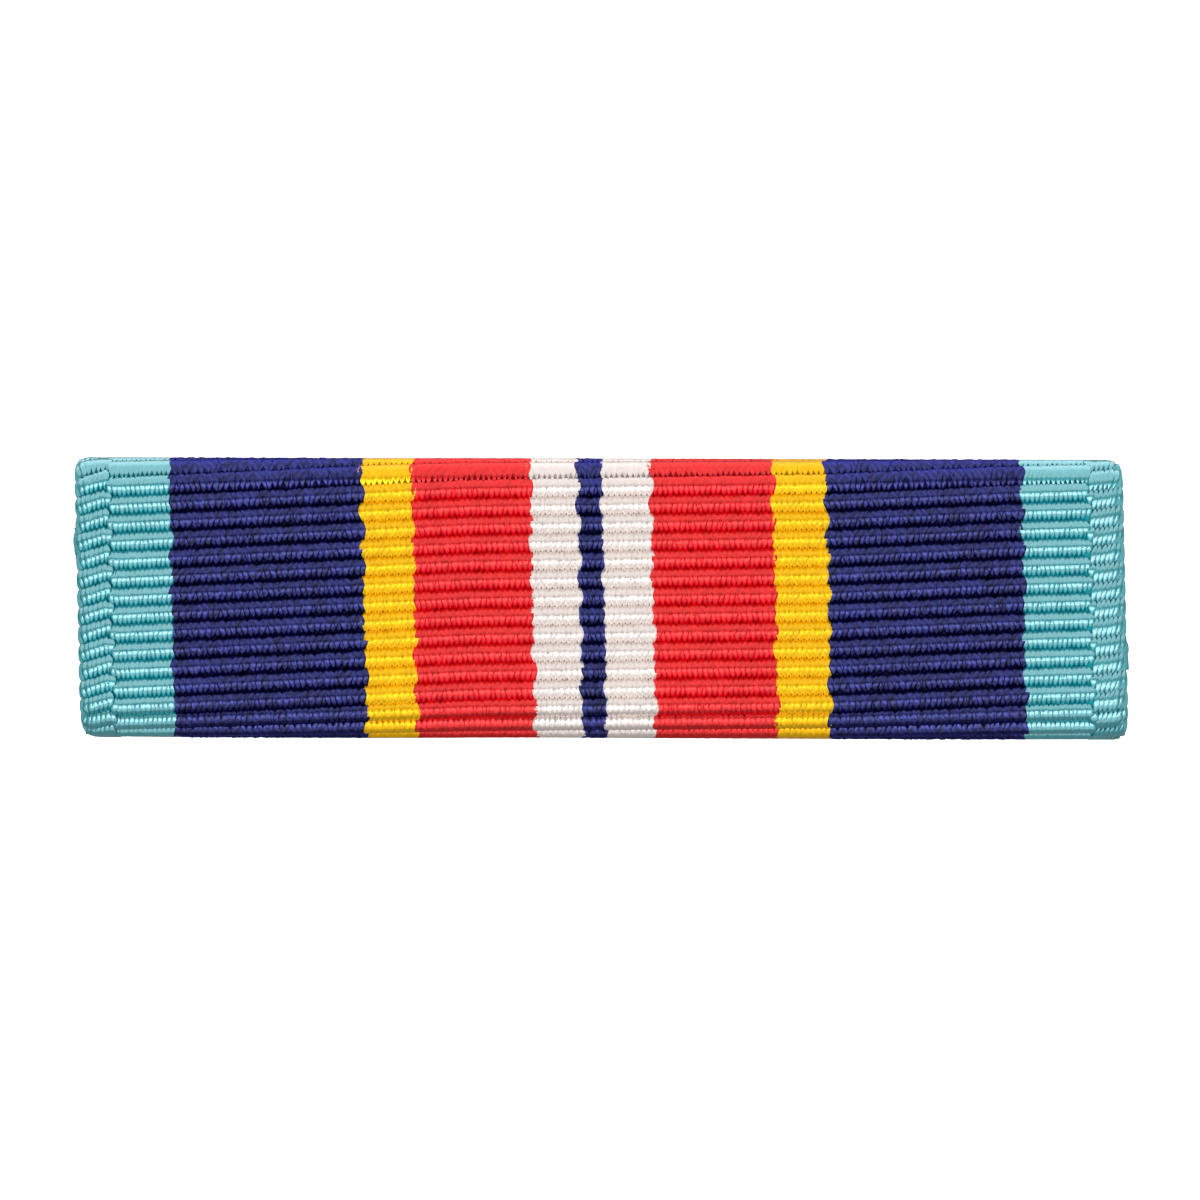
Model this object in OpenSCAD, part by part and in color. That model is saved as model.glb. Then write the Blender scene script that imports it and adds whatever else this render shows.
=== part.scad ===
// A ribbon bar: a striped, ribbed ribbon wound round a slide-on carrier of bent sheet metal.
// X runs along the bar, Y is up the front and Z comes out of the front. The bar lies on its back.

/* [Bar] */
// Height of the bar over the folded ribbon
bar_h = 9.4; // [8:0.05:16]
// Radius of the fold over the upper edge, over the ribbon
upper_fold_r = 1.05; // [0.9:0.05:1.6]
// Radius of the fold under the lower edge, over the ribbon
lower_fold_r = 1.45; // [0.9:0.05:1.6]

/* [Carrier] */
// Thickness of the sheet metal
carrier_t = 0.35; // [0.2:0.05:0.4]
// Clear height of the channel behind the front web, for the rail of a mounting bar
channel_gap = 1.25; // [1:0.05:2]
// Width of each lip, from the edge of the bend to the middle of its rounded end
lip_w = 2.3; // [1.8:0.05:3]
// How far each end of the carrier stops short of the ribbon
end_inset = 0.4; // [0.35:0.05:2]
// Clearance between the sheet metal and the ribbon on it
cloth_gap = 0.05; // [0.03:0.01:0.15]

/* [Ribbon] */
// Width of the woven ribbon, which is the length of the bar
ribbon_w = 34.9; // [26:0.1:70]
// Thickness of the ribbon over the crowns of its ribs
ribbon_t = 0.5; // [0.3:0.05:0.65]
// Distance from one rib to the next
rib_pitch = 0.612; // [0.45:0.001:1.2]
// Depth of the grooves between the ribs
rib_depth = 0.15; // [0.05:0.01:0.2]
// Height of the first groove above the middle of the front
first_groove = 0.39; // [0:0.01:0.6]
// Length of ribbon that is tucked in behind each lip
hem_l = 0.5; // [0.2:0.05:1]
// Angle by which the ribbon is wound askew, in degrees
skew = 1.4; // [0:0.05:2]
// Width of the band at each side where the edge threads shift the ribs
selvedge_w = 1.15; // [0.8:0.05:2]
// Width over which the outer edge of each selvedge is rounded
edge_round = 0.42; // [0.2:0.01:0.5]
// How far each rib stands out past the grooves at the selvedges
edge_bulge = 0.08; // [0:0.01:0.15]

/* [Hidden] */
$fn = 48;

// The overall depth is two sheets, the channel between them and the ribbon on both sides.
cover_t = ribbon_t + cloth_gap;
bar_d = channel_gap + 2 * (carrier_t + cover_t);
carrier_h = bar_h - 2 * cover_t;
carrier_d = bar_d - 2 * cover_t;
carrier_l = ribbon_w - 2 * end_inset;
lip_end = carrier_h / 2 - lip_w;
half_w = ribbon_w / 2;
// Least straight stretch between the two bends of a fold, which limits their radius.
fold_flat = 0.1;
upper_r = min(upper_fold_r, (bar_d - fold_flat) / 2);
lower_r = min(lower_fold_r, (bar_d - fold_flat) / 2);
// Least radius inside a bend of the sheet.
bend_r = 0.05;

// The stripes from left to right: colour and share of the ribbon's width, in millimetres of a
// ribbon as wide as the one in the photograph.
TEAL = "#7cc5cd";
NAVY = "#31346a";
YELLOW = "#fbc926";
RED = "#f23a3c";
WHITE = "#efe8e6";
STRIPE_COLOUR = 0;
STRIPE_WIDTH = 1;
STRIPES = [
    [TEAL, 3.14],
    [NAVY, 6.4],
    [YELLOW, 1.69],
    [RED, 3.94],
    [WHITE, 1.59],
    [NAVY, 0.77],
    [WHITE, 1.63],
    [RED, 4.07],
    [YELLOW, 1.78],
    [NAVY, 6.52],
    [TEAL, 3.37],
];

// One rib, from groove to groove: share of the pitch and share of the groove's depth.
RIB_AT = 0;
RIB_RISE = 1;
RIB = [[0, 0], [0.18, 0.72], [0.5, 1], [0.82, 0.72]];

// A slow wave in the ribs across the ribbon: share of half its width and rise in pitches.
WAVE = [[-1, -0.52], [-0.5, -0.16], [-0.25, 0.01], [0.42, -0.15], [0.78, 0.08], [1, 0.12]];

// Longest step between two columns of points across the ribbon, in millimetres.
column_step = 7;
// Share of a selvedge's band where the shifted ribs begin to meet the others.
selvedge_inner = 0.9;
// Least share of a pitch between a cut end of the ribbon and the nearest groove.
end_share = 0.3;

// A selvedge from its outer edge inwards: share of its band and rise of the ribs in pitches.
LEFT_SELVEDGE = [[0, 0], [selvedge_inner, 0.45], [1, 0]];
RIGHT_SELVEDGE = [[0, -0.35], [selvedge_inner, -0.5], [1, 0]];

// The rounded outer edge: share of the rounding's width and share of the ribbon's thickness.
EDGE = [[0, 0.2], [0.3, 0.76], [1, 1]];

// Sum of the first n numbers of a list.
function sum(list, n) = n <= 0 ? 0 : list[n - 1] + sum(list, n - 1);

// The line that the middle of the cloth follows from the middle of the front round one fold:
// each row is a length and the angle that it turns through. Row LIP_RUN lies over a lip's back.
function fold_path(fold_r) =
    let (mid_r = fold_r - ribbon_t / 2, lip_r = carrier_t / 2 + cloth_gap + ribbon_t / 2)
    [
        [bar_h / 2 - fold_r, 0],
        [PI / 2 * mid_r, 90],
        [bar_d - 2 * fold_r, 0],
        [PI / 2 * mid_r, 90],
        [lip_w + cover_t - fold_r, 0],
        [PI * lip_r, 180],
        [hem_l, 0],
    ];
UPPER = fold_path(upper_r);
LOWER = fold_path(lower_r);
LIP_RUN = 4;
function path_length(path, n) = sum([for (piece = path) piece[0]], n);
upper_l = path_length(UPPER, len(UPPER));
lower_l = path_length(LOWER, len(LOWER));

// Where the line is after a distance w, and the direction square to it: [y, z, facing angle].
function along(path, w, at = [0, bar_d - ribbon_t / 2], facing = 0, n = 0) =
    let (piece = path[n], here = min(w, piece[0]), turn = piece[1] * here / max(piece[0], 0.001))
    let (r = piece[1] == 0 ? 0 : piece[0] / piece[1] * 180 / PI)
    let (arc = r * [sin(facing + turn) - sin(facing), cos(facing + turn) - cos(facing)])
    let (to = at + (r == 0 ? here * [cos(facing), -sin(facing)] : arc))
    w <= piece[0] || n == len(path) - 1
        ? [to[0], to[1], facing + turn]
        : along(path, w - piece[0], to, facing + turn, n + 1);

// The cloth's middle at a distance w up (or, below zero, down) from the middle of the front,
// moved out by a distance along its own face: [y, z].
function cloth_at(w, out) =
    let (p = along(w < 0 ? LOWER : UPPER, abs(w)), side = w < 0 ? -1 : 1)
    [side * (p[0] + out * sin(p[2])), p[1] + out * cos(p[2])];

// The ribs keep their drift over front and folds and come straight on the way round the lip.
function keep_drift(v) =
    let (path = v < 0 ? LOWER : UPPER, from = path_length(path, LIP_RUN))
    let (to = path_length(path, len(path)))
    1 - min(1, max(0, (abs(v) - from) / (to - from)));

// How far a rib is shifted up at a distance u from the ribbon's middle.
function selvedge_rise(u) =
    let (inward = (half_w - abs(u)) / selvedge_w)
    inward >= 1 ? 0 : lookup(inward, u < 0 ? LEFT_SELVEDGE : RIGHT_SELVEDGE);
function drift(u) = u * tan(skew) + rib_pitch * (lookup(u / half_w, WAVE) + selvedge_rise(u));

// Rows of points up the ribbon: distance and share of the groove's depth. The cut ends lie at
// half that depth.
cut_rise = 0.5;
first_rib = ceil((-lower_l - first_groove) / rib_pitch + end_share);
last_rib = floor((upper_l - first_groove) / rib_pitch - end_share) - 1;
ROWS = [
    [-lower_l, cut_rise],
    for (k = [first_rib:last_rib], step = RIB)
        [first_groove + rib_pitch * (k + step[RIB_AT]), step[RIB_RISE]],
    [first_groove + rib_pitch * (last_rib + 1), 0],
    [upper_l, cut_rise],
];
last_row = len(ROWS) - 1;
// The inner face has a row at each groove, one more at each crown where it bends, and the two ends.
flat_front = bar_h / 2 - max(upper_r, lower_r) - 2 * rib_pitch;
function inner_row(k) =
    let (step = (k - 1) % len(RIB))
    step == 0 || (step == len(RIB) / 2 && abs(ROWS[k][0]) > flat_front);
INNER = [0, for (k = [1:last_row - 1]) if (inner_row(k)) k, last_row];

// Columns of points across the ribbon: distance, share of the thickness, and how far the grooves
// draw it in.
function column(u) =
    let (inward = (half_w - abs(u)) / edge_round)
    [u, inward >= 1 ? 1 : lookup(inward, EDGE), inward < EDGE[1][0] / 2 ? sign(u) * edge_bulge : 0];
stripe_widths = [for (stripe = STRIPES) stripe[STRIPE_WIDTH]];
function stripe_start(n) =
    ribbon_w * (sum(stripe_widths, n) / sum(stripe_widths, len(STRIPES)) - 0.5);
// The columns that are closer together at a selvedge, on the left (side -1) or right (side 1).
function edge_columns(side) =
    let (list = [for (row = EDGE) half_w - row[0] * edge_round, half_w - selvedge_inner * selvedge_w])
    [for (k = [0:len(list) - 1]) side < 0 ? -list[k] : list[len(list) - 1 - k]];
function even_columns(from, to) =
    let (steps = ceil((to - from) / column_step))
    [for (k = [0:steps]) from + (to - from) * k / steps];
function stripe_columns(n) =
    let (left = n == 0, right = n == len(STRIPES) - 1)
    let (from = left ? selvedge_w - half_w : stripe_start(n))
    let (to = right ? half_w - selvedge_w : stripe_start(n + 1))
    concat(left ? edge_columns(-1) : [], even_columns(from, to), right ? edge_columns(1) : []);

// A point of the outer (share 1) or the inner face (share 0).
function point(col, row, share) =
    let (u = col[0], v = row[0], w = v + drift(u) * keep_drift(v))
    let (rise = ribbon_t - rib_depth * (1 - row[1]))
    let (yz = cloth_at(w, share * col[1] * rise - ribbon_t / 2))
    [u - col[2] * (1 - row[1]) - w * tan(skew), yz[0], yz[1]];

module stripe(n) {
    cols = [for (u = stripe_columns(n)) column(u)];
    nc = len(cols);
    nr = len(ROWS);
    ni = len(INNER);
    outer = [for (row = ROWS, col = cols) point(col, row, 1)];
    inner = [for (i = INNER, col = cols) point(col, ROWS[i], 0)];
    function o(i, j) = i * nc + j;
    function q(k, j) = nr * nc + k * nc + j;
    // The ribs climb to the right, so each field is split along its shorter diagonal.
    faces = [
        for (i = [0:nr - 2], j = [0:nc - 2]) each [
            [o(i, j), o(i + 1, j), o(i, j + 1)],
            [o(i + 1, j), o(i + 1, j + 1), o(i, j + 1)],
        ],
        for (k = [0:ni - 2], j = [0:nc - 2]) each [
            [q(k, j), q(k, j + 1), q(k + 1, j)],
            [q(k + 1, j), q(k, j + 1), q(k + 1, j + 1)],
        ],
        for (j = [0:nc - 2]) each [
            [o(0, j), o(0, j + 1), q(0, j + 1)],
            [o(0, j), q(0, j + 1), q(0, j)],
            [o(nr - 1, j + 1), o(nr - 1, j), q(ni - 1, j)],
            [o(nr - 1, j + 1), q(ni - 1, j), q(ni - 1, j + 1)],
        ],
        for (k = [0:ni - 2]) each [
            [q(k, 0), q(k + 1, 0), o(INNER[k + 1], 0)],
            for (i = [INNER[k]:INNER[k + 1] - 1]) [q(k, 0), o(i + 1, 0), o(i, 0)],
            [q(k + 1, nc - 1), q(k, nc - 1), o(INNER[k + 1], nc - 1)],
            for (i = [INNER[k]:INNER[k + 1] - 1]) [q(k, nc - 1), o(i, nc - 1), o(i + 1, nc - 1)],
        ],
    ];
    color(STRIPES[n][STRIPE_COLOUR]) polyhedron(concat(outer, inner), faces);
}

module ribbon() {
    for (n = [0:len(STRIPES) - 1])
        stripe(n);
}

// An oblong with its foot on the X axis, with one radius at both left corners and one at the right.
module rounded_section(w, h, left_r, right_r) {
    translate([left_r - w / 2, 0])
        square([w - left_r - right_r, h]);
    translate([-w / 2, left_r])
        square([left_r, h - 2 * left_r]);
    translate([w / 2 - right_r, right_r])
        square([right_r, h - 2 * right_r]);
    for (x_r = [[left_r - w / 2, left_r], [w / 2 - right_r, right_r]])
        for (y = [x_r[1], h - x_r[1]])
            translate([x_r[0], y])
                circle(x_r[1]);
}

// The bent sheet from its end: the web, two bends and two lips with rounded ends.
module carrier_section() {
    lower_bend = lower_r - cover_t;
    upper_bend = upper_r - cover_t;
    difference() {
        rounded_section(carrier_h, carrier_d, lower_bend, upper_bend);
        translate([0, carrier_t])
            rounded_section(
                carrier_h - 2 * carrier_t,
                channel_gap,
                max(lower_bend - carrier_t, bend_r),
                max(upper_bend - carrier_t, bend_r)
            );
        translate([-lip_end, -carrier_t])
            square([2 * lip_end, 3 * carrier_t]);
    }
    for (side = [-1, 1])
        translate([side * lip_end, carrier_t / 2])
            circle(carrier_t / 2);
}

module carrier() {
    color("#b99a52")
        translate([-carrier_l / 2, 0, cover_t])
            rotate([90, 0, 90])
                linear_extrude(carrier_l)
                    carrier_section();
}

carrier();
ribbon();
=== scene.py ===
"""A striped grosgrain ribbon bar, woven thread by thread over its slide-on carrier.

X runs along the bar, Y is up the front and Z comes out of the front. Lengths are in metres.
"""
import math

import bmesh
import bpy
import numpy as np
from bpy.props import FloatProperty, FloatVectorProperty, IntProperty, PointerProperty
from mathutils import Euler, Matrix, Vector


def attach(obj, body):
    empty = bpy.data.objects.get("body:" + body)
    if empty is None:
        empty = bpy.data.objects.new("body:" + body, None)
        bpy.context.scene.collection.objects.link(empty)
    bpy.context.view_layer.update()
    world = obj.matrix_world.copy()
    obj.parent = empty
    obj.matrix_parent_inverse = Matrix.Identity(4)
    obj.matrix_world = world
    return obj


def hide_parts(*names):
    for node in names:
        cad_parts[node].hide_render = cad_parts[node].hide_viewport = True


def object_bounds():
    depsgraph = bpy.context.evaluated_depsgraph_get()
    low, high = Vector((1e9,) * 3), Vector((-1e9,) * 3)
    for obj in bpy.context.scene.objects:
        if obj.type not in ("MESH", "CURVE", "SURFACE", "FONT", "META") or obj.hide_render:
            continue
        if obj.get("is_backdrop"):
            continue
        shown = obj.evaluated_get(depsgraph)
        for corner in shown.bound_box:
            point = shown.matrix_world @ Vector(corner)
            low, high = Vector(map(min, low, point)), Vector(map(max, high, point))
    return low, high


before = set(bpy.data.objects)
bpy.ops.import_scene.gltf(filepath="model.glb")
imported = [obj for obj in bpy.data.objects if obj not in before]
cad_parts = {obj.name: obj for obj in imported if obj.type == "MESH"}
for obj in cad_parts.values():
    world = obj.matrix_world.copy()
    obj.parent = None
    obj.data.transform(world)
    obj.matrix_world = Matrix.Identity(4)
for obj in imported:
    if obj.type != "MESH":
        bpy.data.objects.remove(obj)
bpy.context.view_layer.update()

bl_info = {
    "name": "Ribbon bar",
    "version": (1, 0, 0),
    "blender": (4, 5, 0),
    "location": "3D View > Sidebar > Ribbon bar",
    "description": "Weaves a striped ribbon round a slide-on carrier",
    "category": "Add Mesh",
}

MM = 0.001
BODY = "root"
CARRIER_NODE = "carrier"
RIBBON_NODE = "ribbon"

# The stripes from left to right: dye, width in millimetres and warp floats on each rib.
STRIPES = [
    ("teal", 3.14, 20),
    ("navy", 6.4, 35),
    ("yellow", 1.69, 9),
    ("red", 3.94, 22),
    ("white", 1.59, 9),
    ("navy", 0.81, 5),
    ("white", 1.63, 9),
    ("red", 4.07, 23),
    ("yellow", 1.78, 10),
    ("navy", 6.52, 36),
    ("teal", 3.37, 21),
]
DYES = ["teal", "navy", "yellow", "red", "white"]

# A slow wave in the ribs across the ribbon: share of half its width and rise in pitches.
WAVE = [(-1, -0.52), (-0.5, -0.16), (-0.25, 0.01), (0.42, -0.15), (0.78, 0.08), (1, 0.12)]
# Share of a selvedge's band, from its outer edge inwards, in which its threads lie loose.
SELVEDGE_INNER = 0.9
# A selvedge from its outer edge inwards: share of its band and rise of the ribs in pitches.
LEFT_SELVEDGE = [(0, 0), (SELVEDGE_INNER, 0.45), (1, 0)]
RIGHT_SELVEDGE = [(0, -0.35), (SELVEDGE_INNER, -0.5), (1, 0)]
# Turn of the loose floats in the cloth's plane, in degrees, at the left (-1) and right (1).
LOOSE_TURN = {-1: 0, 1: -14}
# Width of those threads against the ones between the selvedges.
LOOSE_WIDTH = {-1: 0.9, 1: 0.7}
# Row of a fold's path that lies over a lip's back, from where the ribs come straight.
LIP_RUN = 4
# Share of the ribs' relief that is left over the upper fold and at the selvedges.
FOLD_RELIEF = 0.4
SELVEDGE_RELIEF = {-1: 0.85, 1: 0.45}
# Steepest lean of a float over the rounded outer edges, in degrees.
MOST_LEAN = 8
# Share of the cloth's thickness that is left at its outermost edge.
EDGE_SHARE = 0.2
# Width of a float at its middle over its share of the stripe.
FLOAT_OVERLAP = 2.2
# How a float tapers to its lower and upper end, as a power, and how round it gets there.
LOWER_TAPER = 1.25
UPPER_TAPER = 1.8
LOWER_ROUND = 0.9
UPPER_ROUND = 0.3
# Roundness of a rib: power of the distance from its crown and power of what that leaves.
RIB_POWERS = (2.6, 0.75)
# How a float falls from its crown to its ends, as a power.
FLOAT_FALL = 2.2
# Cross-sections of a float, in shares of half its length from its crown.
FLOAT_STATIONS = [-0.95, -0.78, -0.54, -0.27, 0, 0.27, 0.54, 0.78, 0.95]
# Where a float's back turns down to its sides: share of half its width, and how far it has
# fallen there at its middle, in half thicknesses.
SHOULDER = 0.8
SHOULDER_FALL = 0.03
# How far floats are moved sideways from rib to rib, one way and the other, in thread widths.
STAGGER = 0.25
# Chance differences between floats: turn and lean in degrees at a contrast of 1, and size.
TURN_SPREAD = 5
LEAN_SPREAD = 4
SIZE_SPREAD = 0.07
# Floats to each column of the ground.
FLOATS_A_COLUMN = 2
# Places of the ground's columns over a rounded edge, in shares of its width.
EDGE_COLUMNS = (0.03, 0.12, 0.3, 0.6)


def linear(*rgb):
    """A colour of 0 to 255 in each channel as scene linear values."""
    shares = [value / 255 for value in rgb]
    return tuple(s / 12.92 if s <= 0.04045 else ((s + 0.055) / 1.055) ** 2.4 for s in shares)


# How much the threads of each dye differ in brightness: their own tone, and the painted shade of their
# filaments and plies.
CONTRAST = {"teal": 0.5, "navy": 2.2, "yellow": 0.5, "red": 0.9, "white": 0.25}

# Share of each dye's sheen in its own colour.
SHEEN = {"teal": 0.6, "navy": 0.95, "yellow": 0.6, "red": 0.75, "white": 0.6}

# Weight of a thin, clear gloss over each dye's own tinted one.
COAT = {"teal": 1, "navy": 0.12, "yellow": 0.08, "red": 0.14, "white": 0.1}

# Painted groove shade of each dye where a float sinks into a groove: darker than the dye for teal, navy
# and red, lighter for yellow and white to offset the groove's real shade.
PAINTED_GROOVE_SHADE = {
    "teal": linear(14, 146, 157),
    "navy": linear(30, 28, 88),
    "yellow": linear(255, 218, 44),
    "red": linear(232, 8, 40),
    "white": linear(240, 231, 226),
}

# Painted shade of the ground in the grooves between the floats: darker than the dye for teal, navy and
# red, lighter for yellow and white to offset the grooves' real shade.
GROUND_PAINTED_SHADE = {
    "teal": linear(10, 144, 156),
    "navy": linear(26, 26, 76),
    "yellow": linear(255, 216, 36),
    "red": linear(190, 6, 30),
    "white": linear(240, 232, 228),
}

# Rise of the relief over which the painted groove shade comes in.
PAINTED_SHADE_FADE = 0.25

# Depth of the finest relief in the cloth's materials.
FINE_RELIEF = 0.03 * MM

# Plies of the yarn: radians along half a float and over half a thread's width.
PLY_TURNS = 8.5
PLY_SLANT = 2.2

# Tones between which the plies' slant changes to the other hand.
LAY_CHANGE = (0.45, 0.55)

# How far a thread's tone moves its pattern on, so that neighbours differ.
PATTERN_SHIFT = 40

# Filaments of the yarn: slant, and fineness over and along a float.
FILAMENT_SLANT = 1.6
FILAMENTS_ACROSS = 2.6
FILAMENTS_ALONG = 1.2

# Shares of a thread's brightness that come from its own tone at random, and from painted shade of its
# filaments and plies.
TONE_SHARE = 0.14
FILAMENT_SHADE_SHARE = 0.2
PLY_SHADE_SHARE = 0.2

# Where the painted groove shade comes in on a float, below and above its crown, in shares of half its
# length.
LOWER_PAINTED_SHADE = (-0.64, -0.8)
UPPER_PAINTED_SHADE = (0.8, 0.95)

# How much farther the painted groove shade climbs at a float's sides than on its middle.
PAINTED_SHADE_CLIMB = 0.45

# Roughness of the yarn's sheen, and what its filaments add.
SHEEN_ROUGHNESS = 0.24
FILAMENT_ROUGHNESS = 0.1

# Heights of the filaments and of the plies in the yarn's relief.
FILAMENT_HEIGHT = 0.6
PLY_HEIGHT = 0.4

# The ground: how far its grain darkens it, its roughness, and what the grain adds.
GRAIN_SHADE = 0.4
GROUND_ROUGHNESS = 0.62
GRAIN_ROUGHNESS = 0.2

# The brass: brightness and share of its stains, and its roughness with lines and stains.
STAIN_BRIGHTNESS = 0.45
STAIN_SHARE = 0.6
BRASS_ROUGHNESS = 0.24
LINE_ROUGHNESS = 0.12
STAIN_ROUGHNESS = 0.2


def length(name, description, default):
    return FloatProperty(
        name=name, description=description, default=default, min=0, unit="LENGTH", precision=6
    )


def dye(name, description, default):
    return FloatVectorProperty(
        name=name, description=description, default=default, min=0, max=1, size=3, subtype="COLOR"
    )


class BarSizes(bpy.types.PropertyGroup):
    """Sizes of the winding and of the carrier inside it."""

    bar_h: length("Bar height", "Height of the bar over the folded ribbon", 9.4 * MM)
    upper_fold_r: length("Upper fold radius", "Radius over the ribbon at the top", 1.05 * MM)
    lower_fold_r: length("Lower fold radius", "Radius over the ribbon at the bottom", 1.45 * MM)
    carrier_t: length("Sheet thickness", "Thickness of the carrier's sheet metal", 0.35 * MM)
    channel_gap: length("Channel gap", "Clear height of the channel", 1.25 * MM)
    lip_w: length("Lip width", "Width of each lip of the carrier", 2.3 * MM)
    cloth_gap: length("Cloth gap", "Clearance between the sheet metal and the cloth", 0.05 * MM)
    hem_l: length("Hem length", "Length of ribbon tucked in behind each lip", 0.5 * MM)


class RibbonSizes(bpy.types.PropertyGroup):
    """Sizes of the cloth and of its threads."""

    ribbon_w: length("Ribbon width", "Width of the woven ribbon", 34.9 * MM)
    ribbon_t: length("Ribbon thickness", "Thickness over the crowns of the ribs", 0.5 * MM)
    rib_pitch: length("Rib pitch", "Distance from one rib to the next", 0.612 * MM)
    rib_depth: length("Rib depth", "Depth of the grooves", 0.15 * MM)
    first_groove: length("First groove", "Height of the first groove above the middle", 0.39 * MM)
    skew: FloatProperty(
        name="Skew",
        description="Angle by which the ribbon is wound askew",
        default=math.radians(1.4),
        subtype="ANGLE",
    )
    selvedge_w: length("Selvedge width", "Width of the band at each side", 1.15 * MM)
    edge_round: length("Edge rounding", "Width over which the outer edge is rounded", 0.42 * MM)
    edge_bulge: length("Edge bulge", "How far a rib stands out past the grooves", 0.08 * MM)
    weft_loop: length("Weft loop", "How far the weft's turns stand out past the edge", 0.07 * MM)
    float_l: length("Float length", "Length of a warp float with its sunk ends", 0.84 * MM)
    float_t: length("Float thickness", "Thickness of a warp float at its middle", 0.12 * MM)
    float_dive: length("Float dive", "How far a float's ends lie under its crown", 0.24 * MM)
    ground_sink: length("Ground sink", "How far the ground lies under the floats' crowns", 0.09 * MM)
    bare_edge: length("Bare edge", "Width of each edge where the weft turns, bare of floats", 0.06 * MM)
    seed: IntProperty(name="Seed", description="Seed of the threads' small differences", default=11)


class Dyes(bpy.types.PropertyGroup):
    """Colours of the dyed threads and of the sheet metal."""

    teal: dye("Teal", "Outer stripes and selvedges", linear(48, 153, 163))
    navy: dye("Navy", "Broad stripes and the middle line", linear(47, 52, 130))
    yellow: dye("Yellow", "Narrow stripes", linear(229, 175, 4))
    red: dye("Red", "Stripes beside the middle", linear(227, 39, 41))
    white: dye("White", "Stripes at the middle line", linear(209, 198, 193))
    weft: dye("Weft", "Turns of the weft along both edges", linear(96, 168, 176))
    brass: dye("Brass", "Sheet metal of the carrier", linear(196, 160, 88))


class StageSizes(bpy.types.PropertyGroup):
    """Place of the camera over the bar."""

    frame_w: length("Frame width", "Width of what the camera sees at the front", 40 * MM)
    lens: FloatProperty(name="Lens", description="Focal length in millimetres", default=200)
    bar_right: FloatProperty(
        name="Bar right", description="Bar's middle right of the frame's", default=0.047 * MM
    )
    bar_up: FloatProperty(
        name="Bar up", description="Bar's middle above the frame's", default=0.045 * MM
    )
    bar_turn: FloatProperty(
        name="Bar turn",
        description="Angle of the bar, clockwise",
        default=math.radians(0.14),
        subtype="ANGLE",
    )


class Signal:
    """A node's output that can be used in sums."""

    def __init__(self, wiring, socket):
        self.wiring = wiring
        self.socket = socket

    def math(self, operation, first, second):
        return self.wiring.value("ShaderNodeMath", {0: first, 1: second}, operation=operation)

    def __add__(self, other):
        return self.math("ADD", self, other)

    def __sub__(self, other):
        return self.math("SUBTRACT", self, other)

    def __rsub__(self, other):
        return self.math("SUBTRACT", other, self)

    def __mul__(self, other):
        return self.math("MULTIPLY", self, other)

    __radd__ = __add__
    __rmul__ = __mul__


class Wiring:
    """Adds nodes to one tree and joins their sockets."""

    def __init__(self, tree):
        self.tree = tree
        self.tree.nodes.clear()

    def node(self, kind, inputs=None, stops=(), **settings):
        node = self.tree.nodes.new(kind)
        for name, value in settings.items():
            setattr(node, name, value)
        for n, (position, color) in enumerate(stops):
            elements = node.color_ramp.elements
            element = elements[n] if n < len(elements) else elements.new(position)
            element.position = position
            element.color = (*color, 1)
        for key, value in (inputs or {}).items():
            socket = self.pick(node.inputs, key)
            if isinstance(value, Signal):
                self.tree.links.new(value.socket, socket)
            else:
                socket.default_value = value
        return node

    def pick(self, sockets, key):
        if isinstance(key, int):
            return sockets[key]
        return next(s for s in sockets if s.name == key and s.enabled)

    def value(self, kind, inputs=None, output=0, **settings):
        node = self.node(kind, inputs, **settings)
        return Signal(self, self.pick(node.outputs, output))

    def wave(self, angle):
        """A sine of an angle in radians, brought to 0 to 1."""
        return self.value("ShaderNodeMath", {0: angle}, operation="SINE") * 0.5 + 0.5

    def ramp(self, value, start, end):
        """A smooth rise from 0 to 1 while a value goes from start to end."""
        return self.value(
            "ShaderNodeMapRange",
            {"Value": value, "From Min": start, "From Max": end},
            interpolation_type="SMOOTHSTEP",
        )

    def mix(self, share, first, second, blend_type="MIX"):
        """Two colours mixed by a share."""
        inputs = {"Factor": share, "A": first, "B": second}
        return self.value(
            "ShaderNodeMix", inputs, output="Result", data_type="RGBA", blend_type=blend_type
        )


def rib_rise(share):
    """Height of a rib, 0 in a groove and 1 on its crown, at a share of the pitch."""
    away, left = RIB_POWERS
    s = np.clip(np.abs(2 * share - 1), 0, 1)
    return (1 - s**away) ** left


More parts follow.
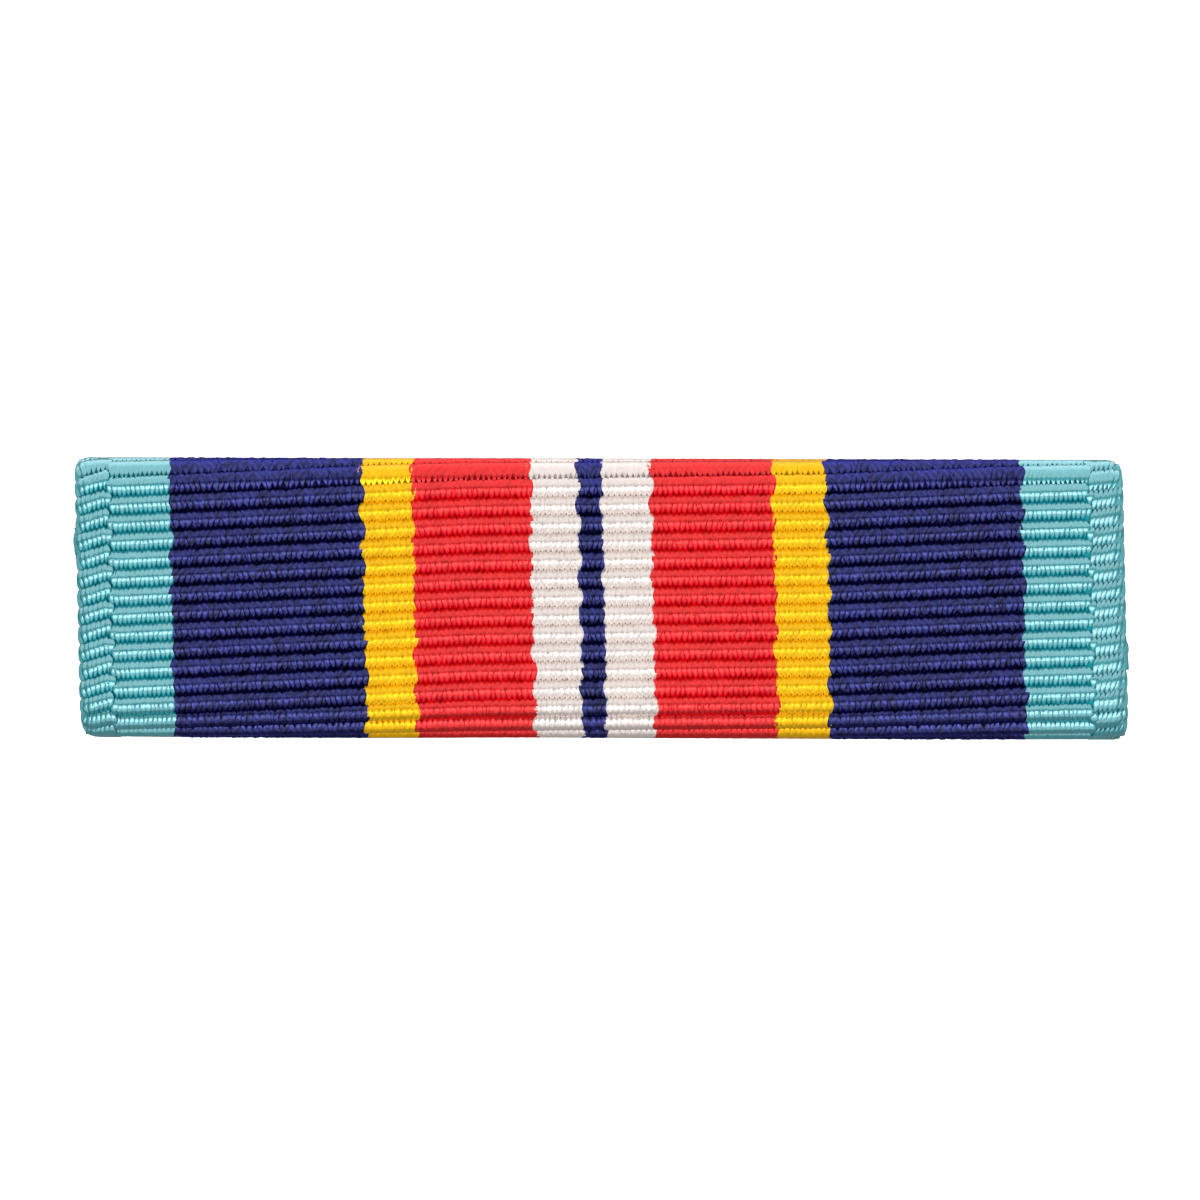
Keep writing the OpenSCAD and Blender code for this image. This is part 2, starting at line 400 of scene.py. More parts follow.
class Winding:
    """Where the cloth runs: from the middle of the front round both folds and lips."""

    # Longest step between two rows of the traced path.
    STEP = 0.02 * MM

    def __init__(self, bar, ribbon):
        self.bar = bar
        self.ribbon = ribbon
        self.half_w = ribbon.ribbon_w / 2
        self.cover_t = ribbon.ribbon_t + bar.cloth_gap
        self.bar_d = bar.channel_gap + 2 * (bar.carrier_t + self.cover_t)
        self.upper = self.fold_path(bar.upper_fold_r)
        self.lower = self.fold_path(bar.lower_fold_r)
        self.upper_l = sum(run for run, _ in self.upper)
        self.lower_l = sum(run for run, _ in self.lower)
        down = self.trace(self.lower)
        up = self.trace(self.upper)
        mirrored = down[::-1] * np.array([-1, -1, 1, -1])
        self.table = np.vstack([mirrored[:-1], up])

    def fold_path(self, fold_r):
        """Rows of length and turn that the middle of the cloth follows round one fold."""
        bar = self.bar
        mid_r = fold_r - self.ribbon.ribbon_t / 2
        lip_r = bar.carrier_t / 2 + bar.cloth_gap + self.ribbon.ribbon_t / 2
        quarter = math.pi / 2
        return [
            (bar.bar_h / 2 - fold_r, 0),
            (quarter * mid_r, quarter),
            (self.bar_d - 2 * fold_r, 0),
            (quarter * mid_r, quarter),
            (bar.lip_w + self.cover_t - fold_r, 0),
            (math.pi * lip_r, math.pi),
            (bar.hem_l, 0),
        ]

    def trace(self, path):
        """Rows of distance, y, z and facing angle along a path, close together."""
        at = [0, self.bar_d - self.ribbon.ribbon_t / 2]
        rows = [(0, at[0], at[1], 0)]
        gone = facing = 0
        for run, turn in path:
            steps = max(1, math.ceil(run / self.STEP))
            for n in range(steps):
                middle = facing + turn / steps / 2
                at[0] += run / steps * math.cos(middle)
                at[1] -= run / steps * math.sin(middle)
                facing += turn / steps
                gone += run / steps
                rows.append((gone, at[0], at[1], facing))
        return np.array(rows)

    def place(self, u, w, out):
        """Points in the part's frame at u across, w along the winding and out from its middle."""
        table = self.table
        y = np.interp(w, table[:, 0], table[:, 1])
        z = np.interp(w, table[:, 0], table[:, 2])
        facing = np.interp(w, table[:, 0], table[:, 3])
        x = u - w * math.tan(self.ribbon.skew)
        return np.stack([x, y + out * np.sin(facing), z + out * np.cos(facing)], axis=-1)

    def keep_drift(self, v):
        """Share of the ribs' drift that is left at a distance v, none at the tucked hems."""
        start = np.where(
            v < 0,
            sum(run for run, _ in self.lower[:LIP_RUN]),
            sum(run for run, _ in self.upper[:LIP_RUN]),
        )
        end = np.where(v < 0, self.lower_l, self.upper_l)
        return 1 - np.clip((np.abs(v) - start) / (end - start), 0, 1)

    def drift(self, u):
        """How far a rib is shifted up at a distance u from the ribbon's middle."""
        inward = (self.half_w - np.abs(u)) / self.ribbon.selvedge_w
        left = np.interp(inward, *zip(*LEFT_SELVEDGE))
        right = np.interp(inward, *zip(*RIGHT_SELVEDGE))
        rise = np.where(inward >= 1, 0, np.where(u < 0, left, right))
        wave = np.interp(u / self.half_w, *zip(*WAVE))
        return u * math.tan(self.ribbon.skew) + self.ribbon.rib_pitch * (wave + rise)

    def edge_share(self, u):
        """Share of the cloth's thickness at u, which falls off over the rounded edges."""
        inward = np.clip((self.half_w - np.abs(u)) / self.ribbon.edge_round, 0, 1)
        return EDGE_SHARE + (1 - EDGE_SHARE) * np.sqrt(1 - (1 - inward) ** 2)

    def relief(self, u, w):
        """Share of the ribs' relief that is left where the cloth is flatter."""
        start = self.bar.bar_h / 2 - self.bar.upper_fold_r
        end = start + math.pi / 2 * self.bar.upper_fold_r
        ramp = self.ribbon.rib_pitch
        rows = [start, start + ramp, end, end + ramp]
        fold = np.interp(w, rows, [1, FOLD_RELIEF, FOLD_RELIEF, 1])
        band = self.half_w - np.abs(u) < self.ribbon.selvedge_w * SELVEDGE_INNER
        selvedge = np.where(u < 0, SELVEDGE_RELIEF[-1], SELVEDGE_RELIEF[1])
        return np.minimum(fold, np.where(band, selvedge, 1))

    def ribs(self):
        """Numbers of the ribs that lie whole between the two cut ends."""
        pitch = self.ribbon.rib_pitch
        first = math.ceil((-self.lower_l - self.ribbon.first_groove) / pitch)
        last = math.floor((self.upper_l - self.ribbon.first_groove) / pitch) - 1
        return range(first, last + 1)


def current_winding():
    scene = bpy.context.scene
    return Winding(scene.bar_sizes, scene.ribbon_sizes)


def mesh_object(name, points, faces, smooth=True):
    mesh = bpy.data.meshes.new(name)
    mesh.from_pydata([tuple(p) for p in points], [], faces)
    if smooth:
        mesh.shade_smooth()
    else:
        mesh.shade_flat()
    piece = bpy.data.objects.new(name, mesh)
    bpy.context.scene.collection.objects.link(piece)
    return piece


def set_attribute(mesh, name, kind, values):
    """Stores one value, or one vector, for each point of a mesh."""
    attribute = mesh.attributes.new(name, kind, "POINT")
    key = "vector" if kind == "FLOAT_VECTOR" else "value"
    attribute.data.foreach_set(key, np.asarray(values, np.float32).ravel())


def grid_faces(rows, cols, start=0, flip=False):
    """Quads over a grid of points, numbered row by row."""
    i, j = np.meshgrid(np.arange(rows - 1), np.arange(cols - 1), indexing="ij")
    corner = (start + i * cols + j).ravel()
    quads = np.stack([corner, corner + 1, corner + cols + 1, corner + cols], axis=1)
    return (quads[:, ::-1] if flip else quads).tolist()


def to_mesh(piece):
    """Replaces an object's mesh by what its modifiers make of it, and removes them."""
    depsgraph = bpy.context.evaluated_depsgraph_get()
    made = bpy.data.meshes.new_from_object(
        piece.evaluated_get(depsgraph), preserve_all_data_layers=True, depsgraph=depsgraph
    )
    piece.modifiers.clear()
    piece.data = made
    if not made.polygons:
        raise RuntimeError(f"{piece.name} came out empty")
    return piece


def add_nodes(piece, tree, values):
    """Puts a tree of geometry nodes on a piece, with its inputs by name."""
    modifier = piece.modifiers.new(tree.name, "NODES")
    modifier.node_group = tree
    for item in tree.interface.items_tree:
        if item.in_out == "INPUT" and item.name in values:
            modifier[item.identifier] = values[item.name]
    return to_mesh(piece)


def thread_material(name, color, groove_shade, contrast, sheen, coat):
    """Glossy plied yarn with slanting plies, and a painted groove shade where a float sinks."""
    material = bpy.data.materials.new(name)
    material.use_nodes = True
    wiring = Wiring(material.node_tree)
    strand = wiring.value("ShaderNodeAttribute", output="Vector", attribute_name="strand")
    tone = wiring.value("ShaderNodeAttribute", output="Fac", attribute_name="tone")
    axes = wiring.node("ShaderNodeSeparateXYZ", {0: strand})
    across = Signal(wiring, axes.outputs[0])
    along = Signal(wiring, axes.outputs[1])
    # The plies run aslant over the float, and each float starts at a turn of its own.
    lay = wiring.ramp(tone, *LAY_CHANGE) * 2 - 1
    plies = wiring.wave(along * PLY_TURNS + across * lay * PLY_SLANT + tone * PATTERN_SHIFT)
    twisted = wiring.value(
        "ShaderNodeCombineXYZ",
        {
            "X": (across + along * FILAMENT_SLANT) * FILAMENTS_ACROSS,
            "Y": along * FILAMENTS_ALONG,
            "Z": tone * PATTERN_SHIFT,
        },
    )
    filaments = wiring.value(
        "ShaderNodeTexNoise", {"Vector": twisted, "Scale": 1.6, "Detail": 2, "Roughness": 0.6}
    )
    # Each thread's own tone, with painted shade and highlights of its filaments and plies.
    tone_and_painted_shade = tone * TONE_SHARE + filaments * FILAMENT_SHADE_SHARE + plies * PLY_SHADE_SHARE
    shade = 1 - contrast * (0.5 - tone_and_painted_shade)
    grey = wiring.value("ShaderNodeCombineColor", {0: shade, 1: shade, 2: shade})
    relief = wiring.value("ShaderNodeAttribute", output="Fac", attribute_name="relief")
    # The painted groove shade climbs higher between two floats than on them, which leaves painted
    # teeth.
    side = across.math("ABSOLUTE", across, 0)
    ends = wiring.ramp(along - side * PAINTED_SHADE_CLIMB, *LOWER_PAINTED_SHADE) + wiring.ramp(along, *UPPER_PAINTED_SHADE)
    # Share of painted groove shade on the float, none where the ribs are flat.
    sunk = ends * wiring.ramp(relief, FOLD_RELIEF, FOLD_RELIEF + PAINTED_SHADE_FADE)
    dyed = wiring.mix(sunk, (*color, 1), (*groove_shade, 1))
    tinted = wiring.mix(1, dyed, grey, "MULTIPLY")
    height = filaments * FILAMENT_HEIGHT + plies * PLY_HEIGHT
    bump = wiring.value(
        "ShaderNodeBump", {"Strength": 0.6, "Distance": FINE_RELIEF, "Height": height}
    )
    shader = wiring.node(
        "ShaderNodeBsdfPrincipled",
        {
            "Base Color": tinted,
            "Metallic": sheen,
            "Roughness": SHEEN_ROUGHNESS + filaments * FILAMENT_ROUGHNESS,
            "Specular IOR Level": 0.15,
            "Specular Tint": (*(channel / max(color) for channel in color), 1),
            # The clear gloss is left off under the painted groove shade.
            "Coat Weight": (1 - sunk) * coat,
            "Coat IOR": 2.1,
            "Coat Roughness": 0.17,
            "Normal": bump,
        },
    )
    wiring.node("ShaderNodeOutputMaterial", {"Surface": Signal(wiring, shader.outputs[0])})
    return material


def ground_material(name, color, shallow):
    """The ground between the floats: painted groove shade in the grooves, the dye's own colour on flat
    ribs.
    """
    material = bpy.data.materials.new(name)
    material.use_nodes = True
    wiring = Wiring(material.node_tree)
    place = wiring.value("ShaderNodeTexCoord", output="Object")
    weave = wiring.value(
        "ShaderNodeTexNoise", {"Vector": place, "Scale": 9000, "Detail": 2, "Roughness": 0.6}
    )
    relief = wiring.value("ShaderNodeAttribute", output="Fac", attribute_name="relief")
    # Share of painted groove shade, none where the ribs are flat.
    painted_shade_share = wiring.ramp(relief, FOLD_RELIEF, FOLD_RELIEF + PAINTED_SHADE_FADE)
    dyed = wiring.mix(painted_shade_share, (*shallow, 1), (*color, 1))
    base = wiring.mix(weave * GRAIN_SHADE, dyed, (0, 0, 0, 1))
    bump = wiring.value(
        "ShaderNodeBump", {"Strength": 0.4, "Distance": FINE_RELIEF, "Height": weave}
    )
    shader = wiring.node(
        "ShaderNodeBsdfPrincipled",
        {
            "Base Color": base,
            "Roughness": GROUND_ROUGHNESS + weave * GRAIN_ROUGHNESS,
            "Specular IOR Level": 0.1,
            "Normal": bump,
        },
    )
    wiring.node("ShaderNodeOutputMaterial", {"Surface": Signal(wiring, shader.outputs[0])})
    return material


def dye_of(name):
    return tuple(getattr(bpy.context.scene.dyes, name))


def stripe_lines(winding):
    """Where each stripe starts across the ribbon, and where the last one ends."""
    widths = np.array([width for _, width, _ in STRIPES])
    ends = np.cumsum(widths) / widths.sum() * winding.ribbon.ribbon_w
    return np.concatenate([[0], ends]) - winding.half_w


def ground_columns(winding):
    """Distances across the ribbon of the ground's columns, with the yarn right of each."""
    half_w = winding.half_w
    lines = [-half_w]
    yarns = []
    ends = stripe_lines(winding)
    for stripe, (name, _, count) in enumerate(STRIPES):
        steps = max(2, round(count / FLOATS_A_COLUMN))
        lines += np.linspace(ends[stripe], ends[stripe + 1], steps + 1)[1:].tolist()
        yarns += [name] * steps
    rounding = [winding.ribbon.edge_round * share for share in EDGE_COLUMNS]
    lines = lines[:1] + [r - half_w for r in rounding] + lines[1:-1]
    lines += [half_w - r for r in rounding[::-1]] + [half_w]
    edge = ["weft"] * len(rounding)
    return np.array(lines), edge + yarns + edge


class GroundCloth(bpy.types.Operator):
    """Weave the ground of the ribbon: one closed, ribbed sheet wound over folds and lips"""

    bl_idname = "ribbonbar.ground_cloth"
    bl_label = "Ground cloth"

    STEPS_A_RIB = 8
    # Height of the ribs at the two cut ends, against a crown.
    CUT_RISE = 0.5

    def execute(self, context):
        winding = current_winding()
        sizes = context.scene.ribbon_sizes
        u, yarns = ground_columns(winding)
        ribs = winding.ribs()
        v = sizes.first_groove + sizes.rib_pitch * (
            np.arange(0, len(ribs) * self.STEPS_A_RIB + 1) / self.STEPS_A_RIB + ribs[0]
        )
        v = np.concatenate([[-winding.lower_l], v, [winding.upper_l]])
        rise = rib_rise(((v - sizes.first_groove) / sizes.rib_pitch) % 1)
        rise[[0, -1]] = self.CUT_RISE
        rise = rise[:, None]
        grid_u, grid_v = np.meshgrid(u, v)
        w = grid_v + winding.drift(grid_u) * winding.keep_drift(grid_v)
        share = winding.edge_share(grid_u)
        relief = winding.relief(grid_u, w)
        groove = sizes.rib_depth * (1 - rise) * relief
        filled = sizes.ground_sink * (1 - relief) * rise
        top = sizes.ribbon_t - sizes.ground_sink - groove + filled
        # The outermost columns follow the weft's turns out past the floats.
        drawn = np.where(np.abs(grid_u) > winding.half_w - sizes.edge_round / 2, 1, 0)
        reach = sizes.weft_loop - sizes.edge_bulge * (1 - rise) * relief
        across = grid_u + np.sign(grid_u) * drawn * reach
        outer = winding.place(across, w, share * top - sizes.ribbon_t / 2)
        inner = winding.place(across, w, 0 * w - sizes.ribbon_t / 2)
        rows, cols = grid_u.shape
        points = np.concatenate([outer.reshape(-1, 3), inner.reshape(-1, 3)])
        faces = grid_faces(rows, cols) + grid_faces(rows, cols, rows * cols, flip=True)
        inside = rows * cols
        kinds = yarns * (rows - 1) * 2
        for i in range(rows - 1):
            for edge in (0, cols - 1):
                a, b = i * cols + edge, (i + 1) * cols + edge
                side = [a, b, b + inside, a + inside]
                faces.append(side if edge == 0 else side[::-1])
                kinds.append(yarns[0])
        for j in range(cols - 1):
            for row in (0, rows - 1):
                a = row * cols + j
                side = [a, a + inside, a + 1 + inside, a + 1]
                faces.append(side if row == 0 else side[::-1])
                kinds.append(yarns[j])
        ground = mesh_object("ground_cloth", points, faces)
        grounds = [*DYES, "weft"]
        for name in grounds:
            # The ground's painted groove shade, or the weft's own colour at the edges.
            color = GROUND_PAINTED_SHADE[name] if name in GROUND_PAINTED_SHADE else dye_of(name)
            ground.data.materials.append(ground_material(f"{name}_ground", color, dye_of(name)))
        both = np.concatenate([relief.ravel(), relief.ravel()])
        set_attribute(ground.data, "relief", "FLOAT", both)
        ground.data.polygons.foreach_set("material_index", [grounds.index(name) for name in kinds])
        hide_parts(RIBBON_NODE)
        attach(ground, BODY)
        return {"FINISHED"}


def float_shape(sizes):
    """A warp float of unit width in the flat cloth: it arches over a rib, tapers and dives."""
    half_l = sizes.float_l / 2
    points = []
    strand = []

    def add(s, across, down):
        crown = -sizes.float_dive * abs(s) ** FLOAT_FALL
        points.append((across, s * half_l, crown - down * sizes.float_t / 2))
        strand.append((across * 2, s, 0))

    add(-1, 0, 1)
    for s in FLOAT_STATIONS:
        taper = 1 - abs(s) ** (LOWER_TAPER if s < 0 else UPPER_TAPER)
        half_w = FLOAT_OVERLAP / 2 * taper
        fall = SHOULDER_FALL + (LOWER_ROUND if s < 0 else UPPER_ROUND) * abs(s) ** 2
        section = [(1, 1), (SHOULDER, fall), (0, 0), (-SHOULDER, fall), (-1, 1), (0, 2)]
        for across, down in section:
            add(s, half_w * across, 1 - taper**0.5 + taper**0.5 * down)
    add(1, 0, 1)
    ring = len(section)
    last = len(points) - 1
    faces = []
    for k in range(ring):
        following = (k + 1) % ring
        faces.append((0, 1 + k, 1 + following))
        faces.append((last, last - ring + following, last - ring + k))
        for n in range(len(FLOAT_STATIONS) - 1):
            a, b = 1 + n * ring + k, 1 + n * ring + following
            faces.append((a, a + ring, b + ring, b))
    shape = mesh_object("float_shape", points, faces)
    set_attribute(shape.data, "strand", "FLOAT_VECTOR", strand)
    outward(shape.data)
    return shape


def outward(mesh):
    """Turns every face of a closed mesh outwards."""
    shell = bmesh.new()
    shell.from_mesh(mesh)
    bmesh.ops.recalc_face_normals(shell, faces=shell.faces)
    shell.to_mesh(mesh)
    shell.free()


def winding_line(winding):
    """The winding's middle line as a curve, for geometry nodes to follow."""
    line = bpy.data.curves.new("winding_line", "CURVE")
    line.dimensions = "3D"
    spline = line.splines.new("POLY")
    table = winding.table
    spline.points.add(len(table) - 1)
    spline.points.foreach_set(
        "co", np.stack([0 * table[:, 0], table[:, 1], table[:, 2], 1 + 0 * table[:, 0]], 1).ravel()
    )
    piece = bpy.data.objects.new("winding_line", line)
    bpy.context.scene.collection.objects.link(piece)
    return piece


FLOAT_INPUTS = [
    ("Float", "NodeSocketObject"),
    ("Winding", "NodeSocketObject"),
    ("Start", "NodeSocketFloat"),
    ("Skew", "NodeSocketFloat"),
    ("Turn spread", "NodeSocketFloat"),
    ("Lean spread", "NodeSocketFloat"),
    ("Size spread", "NodeSocketFloat"),
    ("Seed", "NodeSocketInt"),
    ("Material", "NodeSocketMaterial"),
]


def wound_threads_tree():
    """Lays a float on each point of the flat cloth and winds them all round the bar."""
    tree = bpy.data.node_groups.new("wound_threads", "GeometryNodeTree")
    tree.interface.new_socket("Geometry", in_out="INPUT", socket_type="NodeSocketGeometry")
    for name, kind in FLOAT_INPUTS:
        tree.interface.new_socket(name, in_out="INPUT", socket_type=kind)
    tree.interface.new_socket("Geometry", in_out="OUTPUT", socket_type="NodeSocketGeometry")
    wiring = Wiring(tree)
    given = wiring.node("NodeGroupInput")
    name_of = {socket.name: Signal(wiring, socket) for socket in given.outputs}

    def spread(low, high, seed_step, data_type="FLOAT"):
        return wiring.value(
            "FunctionNodeRandomValue",
            {"Min": low, "Max": high, "Seed": name_of["Seed"] + seed_step},
            output="Value",
            data_type=data_type,
        )

    def attribute(name, kind="FLOAT"):
        return wiring.value(
            "GeometryNodeInputNamedAttribute", {"Name": name}, output="Attribute", data_type=kind
        )

    shape = wiring.value("GeometryNodeObjectInfo", {"Object": name_of["Float"]}, output="Geometry")
    turn = attribute("turn") + spread(-1.0, 1.0, 1) * name_of["Turn spread"]
    lean = attribute("lean") + spread(-1.0, 1.0, 4) * name_of["Lean spread"]
    rotation = wiring.value("ShaderNodeCombineXYZ", {"Y": lean, "Z": turn})
    stretch = 1 + spread(-1.0, 1.0, 2) * name_of["Size spread"]
    size = wiring.value(
        "ShaderNodeVectorMath", {0: attribute("size", "FLOAT_VECTOR"), "Scale": stretch},
        operation="SCALE",
    )
    laid = wiring.value(
        "GeometryNodeInstanceOnPoints",
        {"Points": name_of["Geometry"], "Instance": shape, "Rotation": rotation, "Scale": size},
    )
    toned = wiring.value(
        "GeometryNodeStoreNamedAttribute",
        {"Geometry": laid, "Name": "tone", "Value": spread(0.0, 1.0, 3)},
        data_type="FLOAT",
        domain="INSTANCE",
    )
    real = wiring.value("GeometryNodeRealizeInstances", {"Geometry": toned})
    position = wiring.node(
        "ShaderNodeSeparateXYZ", {0: wiring.value("GeometryNodeInputPosition")}
    )
    u, w, out = (Signal(wiring, socket) for socket in position.outputs)
    line = wiring.value(
        "GeometryNodeObjectInfo", {"Object": name_of["Winding"]}, output="Geometry"
    )
    sample = wiring.node(
        "GeometryNodeSampleCurve",
        {"Curves": line, "Length": w + name_of["Start"]},
        mode="LENGTH",
        use_all_curves=True,
    )
    facing = wiring.value(
        "ShaderNodeVectorMath",
        {0: (1, 0, 0), 1: Signal(wiring, sample.outputs["Tangent"])},
        operation="CROSS_PRODUCT",
    )
    raised = wiring.value(
        "ShaderNodeVectorMath", {0: facing, "Scale": out}, operation="SCALE"
    )
    shifted = wiring.value("ShaderNodeCombineXYZ", {"X": u - w * name_of["Skew"]})
    placed = wiring.value(
        "ShaderNodeVectorMath",
        {0: Signal(wiring, sample.outputs["Position"]), 1: raised},
        operation="ADD",
    )
    placed = wiring.value("ShaderNodeVectorMath", {0: placed, 1: shifted}, operation="ADD")
    wound = wiring.value("GeometryNodeSetPosition", {"Geometry": real, "Position": placed})
    finished = wiring.value(
        "GeometryNodeSetMaterial", {"Geometry": wound, "Material": name_of["Material"]}
    )
    wiring.node("NodeGroupOutput", {"Geometry": finished})
    return tree


class WarpFloats(bpy.types.Operator):
    """Lay the dyed warp floats over the ribs, half a thread's width apart from rib to rib"""

    bl_idname = "ribbonbar.warp_floats"
    bl_label = "Warp floats"

    # Distance over which the slope of the rounded edge is taken.
    SLOPE_STEP = 0.01 * MM

    def execute(self, context):
        winding = current_winding()
        sizes = context.scene.ribbon_sizes
        hidden = winding.upper_l - context.scene.bar_sizes.hem_l
        ribs = np.array(winding.ribs())
        crowns = sizes.first_groove + sizes.rib_pitch * (ribs + 0.5)
        ribs, crowns = ribs[crowns < hidden], crowns[crowns < hidden]
        ends = stripe_lines(winding)
        shape = float_shape(sizes)
        line = winding_line(winding)
        tree = wound_threads_tree()
        yarns = {
            name: thread_material(
                f"{name}_thread",
                dye_of(name),
                PAINTED_GROOVE_SHADE[name],
                CONTRAST[name],
                SHEEN[name],
                COAT[name],
            )
            for name in DYES
        }
        for stripe, (name, _, count) in enumerate(STRIPES):
            thread_w = (ends[stripe + 1] - ends[stripe]) / count
            shift = np.where(ribs % 2, STAGGER, -STAGGER)[:, None]
            u = ends[stripe] + thread_w * (np.arange(count) + 0.5 + shift)
            v = crowns[:, None] + 0 * u
            kept = np.abs(u) < winding.half_w - sizes.bare_edge
            u, v = u[kept], v[kept]
            w = v + winding.drift(u) * winding.keep_drift(v)
            share = winding.edge_share(u)
            step = self.SLOPE_STEP
            slope = (winding.edge_share(u + step) - winding.edge_share(u - step)) / (2 * step)
            most = math.radians(MOST_LEAN)
            lean = np.clip(-np.arctan(slope * sizes.ribbon_t), -most, most)
            out = share * sizes.ribbon_t - sizes.ribbon_t / 2
            inward = winding.half_w - np.abs(u)
            loose = inward < sizes.selvedge_w * SELVEDGE_INNER
            turn = np.where(loose, np.where(u < 0, LOOSE_TURN[-1], LOOSE_TURN[1]), 0)
            thin = np.where(loose, np.where(u < 0, LOOSE_WIDTH[-1], LOOSE_WIDTH[1]), 1)
            points = np.stack([u, w, out], axis=1)
            floats = mesh_object(f"stripe_{stripe + 1}_{name}", points, [])
            set_attribute(floats.data, "lean", "FLOAT", lean)
            set_attribute(floats.data, "turn", "FLOAT", np.radians(turn))
            relief = winding.relief(u, w)
            set_attribute(floats.data, "relief", "FLOAT", relief)
            scale = np.stack([thread_w * thin, 1 + 0 * u, relief], axis=1)
            set_attribute(floats.data, "size", "FLOAT_VECTOR", scale)
            add_nodes(
                floats,
                tree,
                {
                    "Float": shape,
                    "Winding": line,
                    "Start": -float(winding.table[0, 0]),
                    "Skew": math.tan(sizes.skew),
                    "Turn spread": math.radians(TURN_SPREAD * CONTRAST[name]),
                    "Lean spread": math.radians(LEAN_SPREAD * CONTRAST[name]),
                    "Size spread": SIZE_SPREAD,
                    "Seed": sizes.seed + stripe,
                    "Material": yarns[name],
                },
            )
            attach(floats, BODY)
        bpy.data.objects.remove(shape)
        bpy.data.objects.remove(line)
        flat_l = winding.upper_l + winding.lower_l
        return {"FINISHED"}


def brass_material(color):
    """Rolled sheet brass: fine lines along the bar, dull patches and darker stains."""
    material = bpy.data.materials.new("rolled_brass")
    material.use_nodes = True
    wiring = Wiring(material.node_tree)
    place = wiring.value("ShaderNodeTexCoord", output="Object")
    stretched = wiring.value(
        "ShaderNodeMapping", {"Vector": place, "Scale": (60, 9000, 9000)}
    )
    lines = wiring.value("ShaderNodeTexNoise", {"Vector": stretched, "Scale": 1, "Detail": 3})
    stains = wiring.value("ShaderNodeTexNoise", {"Vector": place, "Scale": 420, "Detail": 5})
    mask = wiring.value(
        "ShaderNodeMapRange", {"Value": stains, "From Min": 0.42, "From Max": 0.7}
    )
    dull = tuple(channel * STAIN_BRIGHTNESS for channel in color)
    base = wiring.mix(mask * STAIN_SHARE, (*color, 1), (*dull, 1))
    bump = wiring.value("ShaderNodeBump", {"Strength": 0.25, "Distance": 0.02 * MM, "Height": lines})
    shader = wiring.node(
        "ShaderNodeBsdfPrincipled",
        {
            "Base Color": base,
            "Metallic": 1.0,
            "Roughness": BRASS_ROUGHNESS + lines * LINE_ROUGHNESS + mask * STAIN_ROUGHNESS,
            "Normal": bump,
        },
    )
    wiring.node("ShaderNodeOutputMaterial", {"Surface": Signal(wiring, shader.outputs[0])})
    return material


class CarrierFinish(bpy.types.Operator):
    """Finish the bent sheet of the carrier in rolled brass"""

    bl_idname = "ribbonbar.carrier_finish"
    bl_label = "Carrier finish"

    def execute(self, context):
        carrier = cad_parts[CARRIER_NODE]
        carrier.data.materials.clear()
        carrier.data.materials.append(brass_material(dye_of("brass")))
        return {"FINISHED"}


def glowing_material(name, strength):
    """A pale surface that is lit evenly and shows no shadow."""
    material = bpy.data.materials.new(name)
    material.use_nodes = True
    wiring = Wiring(material.node_tree)
    shader = wiring.node(
        "ShaderNodeBsdfPrincipled",
        {
            "Base Color": (0.9, 0.9, 0.9, 1),
            "Roughness": 0.9,
            "Emission Color": (1, 1, 1, 1),
            "Emission Strength": strength,
        },
    )
    wiring.node("ShaderNodeOutputMaterial", {"Surface": Signal(wiring, shader.outputs[0])})
    material.cycles.emission_sampling = "NONE"
    return material


def softbox(name, off_axis, distance, size, watts):
    """A soft light over the bar, tilted off the camera's axis towards +Y, aimed at the middle."""
    lamp = bpy.data.lights.new(name, "AREA")
    lamp.shape = "RECTANGLE"
    lamp.size, lamp.size_y = size
    lamp.energy = watts
    light = bpy.data.objects.new(name, lamp)
    light.matrix_world = (
        Matrix.Rotation(-off_axis, 4, "X") @ Matrix.Translation((0, 0, distance))
    )
    bpy.context.scene.collection.objects.link(light)


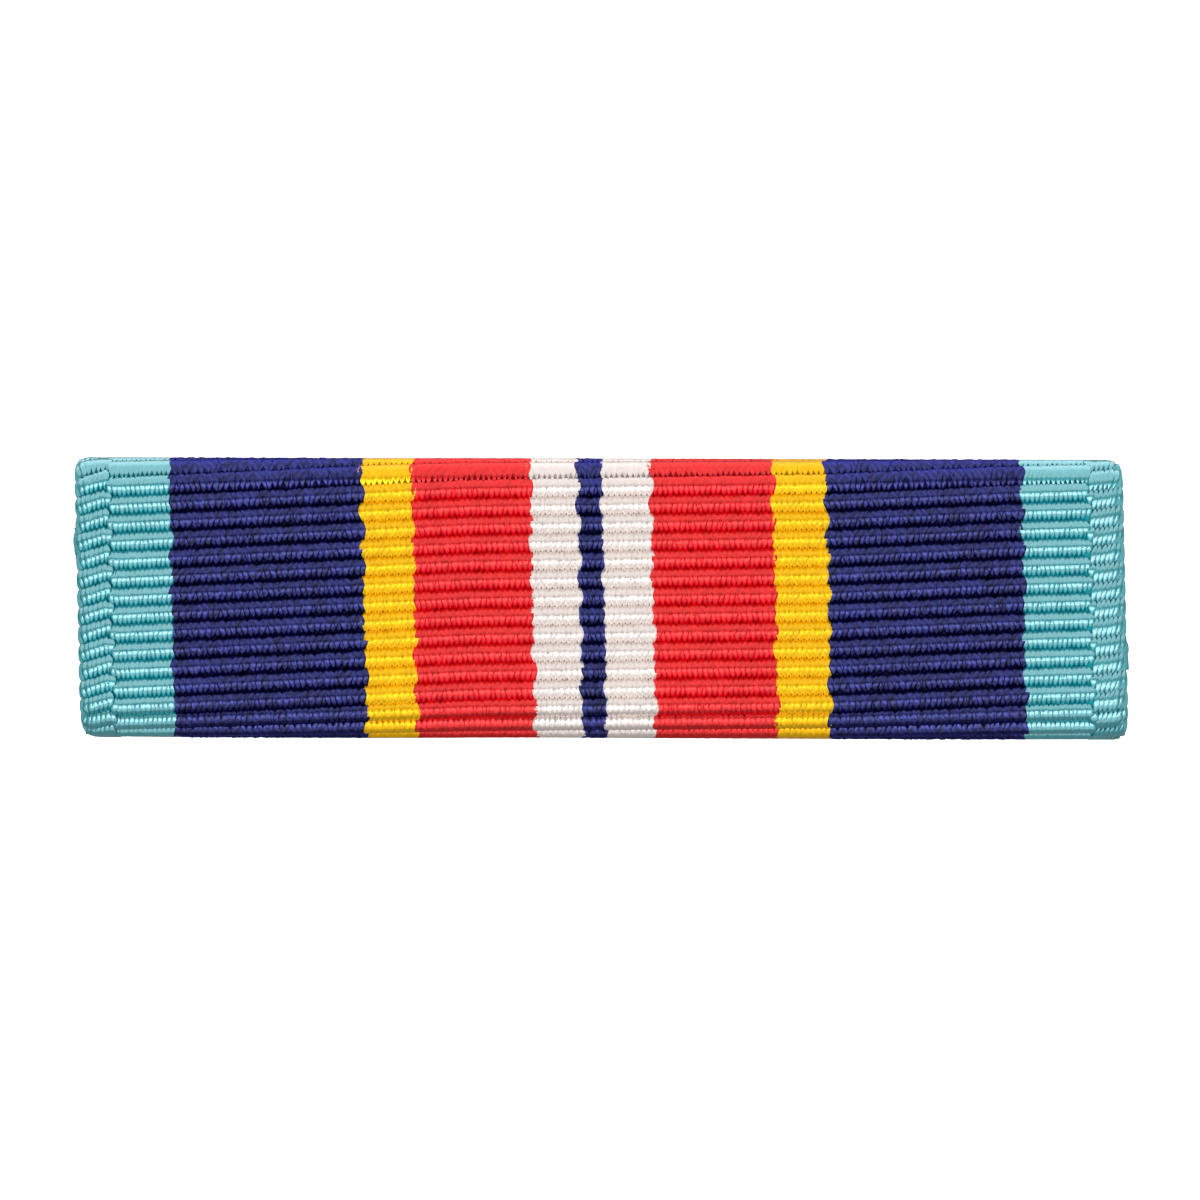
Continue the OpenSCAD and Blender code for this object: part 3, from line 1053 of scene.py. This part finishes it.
class Stage(bpy.types.Operator):
    """Set up the pale floor, the soft studio light and the camera over the bar"""

    bl_idname = "ribbonbar.stage"
    bl_label = "Stage"

    FLOOR_HALF = 0.6
    FLOOR_DROP = 0.02 * MM
    FLOOR_GLOW = 0.95
    # Where the reflector starts above the bar's middle, in bar heights, and its glow.
    REFLECTOR_START = 0.7
    REFLECTOR_GLOW = 0.78
    # Lamps: name, degrees off the camera's axis towards +Y, width and depth, and watts.
    LAMPS = [
        ("upper_softbox", 61, (0.9, 0.5), 1.75),
        ("lower_strip", -19, (0.42, 0.18), 0.86),
        ("lower_fill", -54, (0.7, 0.2), 0.46),
    ]
    LAMP_DISTANCE = 0.3
    SKY_GLOW = 0.3
    CLIP_START = 0.01

    def sheet(self, name, from_y, to_y, drop, glow):
        half = self.FLOOR_HALF
        flat = [(-half, from_y), (half, from_y), (half, to_y), (-half, to_y)]
        corners = [(x, y, -drop) for x, y in flat]
        piece = mesh_object(name, corners, [(0, 1, 2, 3)], smooth=False)
        piece.data.materials.append(glowing_material(name, glow))
        piece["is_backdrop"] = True
        return piece

    def execute(self, context):
        scene = context.scene
        sizes = scene.stage_sizes
        half, drop = self.FLOOR_HALF, self.FLOOR_DROP
        floor = self.sheet("floor", -half, half, drop, self.FLOOR_GLOW)
        floor.visible_glossy = False
        floor.visible_diffuse = False
        # A reflector that lies on the floor above the bar and brightens its upper fold.
        start = scene.bar_sizes.bar_h * self.REFLECTOR_START
        reflector = self.sheet("reflector", start, half, drop / 2, self.REFLECTOR_GLOW)
        reflector.visible_camera = False
        for name, angle, size, watts in self.LAMPS:
            softbox(name, math.radians(angle), self.LAMP_DISTANCE, size, watts)
        world = bpy.data.worlds.new("studio")
        world.use_nodes = True
        wiring = Wiring(world.node_tree)
        white = (1, 1, 1, 1)
        sky = wiring.value("ShaderNodeBackground", {"Color": white, "Strength": self.SKY_GLOW})
        wiring.node("ShaderNodeOutputWorld", {"Surface": sky})
        scene.world = world
        lens = bpy.data.cameras.new("camera")
        lens.lens = sizes.lens
        lens.clip_start = self.CLIP_START
        camera = bpy.data.objects.new("camera", lens)
        low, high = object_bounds()
        distance = sizes.frame_w * sizes.lens / lens.sensor_width
        turned = Euler((0, 0, sizes.bar_turn)).to_matrix().to_4x4()
        aim = Vector((-sizes.bar_right, -sizes.bar_up, high[2] + distance))
        camera.matrix_world = turned @ Matrix.Translation(aim)
        scene.collection.objects.link(camera)
        scene.camera = camera
        scene.view_settings.view_transform = "Standard"
        scene.view_settings.look = "None"
        return {"FINISHED"}


OPERATORS = [GroundCloth, WarpFloats, CarrierFinish, Stage]
GROUPS = {
    "bar_sizes": BarSizes,
    "ribbon_sizes": RibbonSizes,
    "dyes": Dyes,
    "stage_sizes": StageSizes,
}


class RibbonBarPanel(bpy.types.Panel):
    """Sizes and steps of the ribbon bar"""

    bl_idname = "VIEW3D_PT_ribbon_bar"
    bl_label = "Ribbon bar"
    bl_space_type = "VIEW_3D"
    bl_region_type = "UI"
    bl_category = "Ribbon bar"

    def draw(self, context):
        for operator in OPERATORS:
            self.layout.operator(operator.bl_idname)
        for name, group in GROUPS.items():
            box = self.layout.box()
            for prop in group.__annotations__:
                box.prop(getattr(context.scene, name), prop)


def register():
    for group in GROUPS.values():
        bpy.utils.register_class(group)
    for name, group in GROUPS.items():
        setattr(bpy.types.Scene, name, PointerProperty(type=group))
    for operator in OPERATORS:
        bpy.utils.register_class(operator)
    bpy.utils.register_class(RibbonBarPanel)


def unregister():
    bpy.utils.unregister_class(RibbonBarPanel)
    for operator in reversed(OPERATORS):
        bpy.utils.unregister_class(operator)
    for name, group in reversed(GROUPS.items()):
        delattr(bpy.types.Scene, name)
        bpy.utils.unregister_class(group)


def main():
    register()
    bpy.ops.ribbonbar.ground_cloth()
    bpy.ops.ribbonbar.warp_floats()
    bpy.ops.ribbonbar.carrier_finish()
    bpy.ops.ribbonbar.stage()


if __name__ == "__main__":
    main()
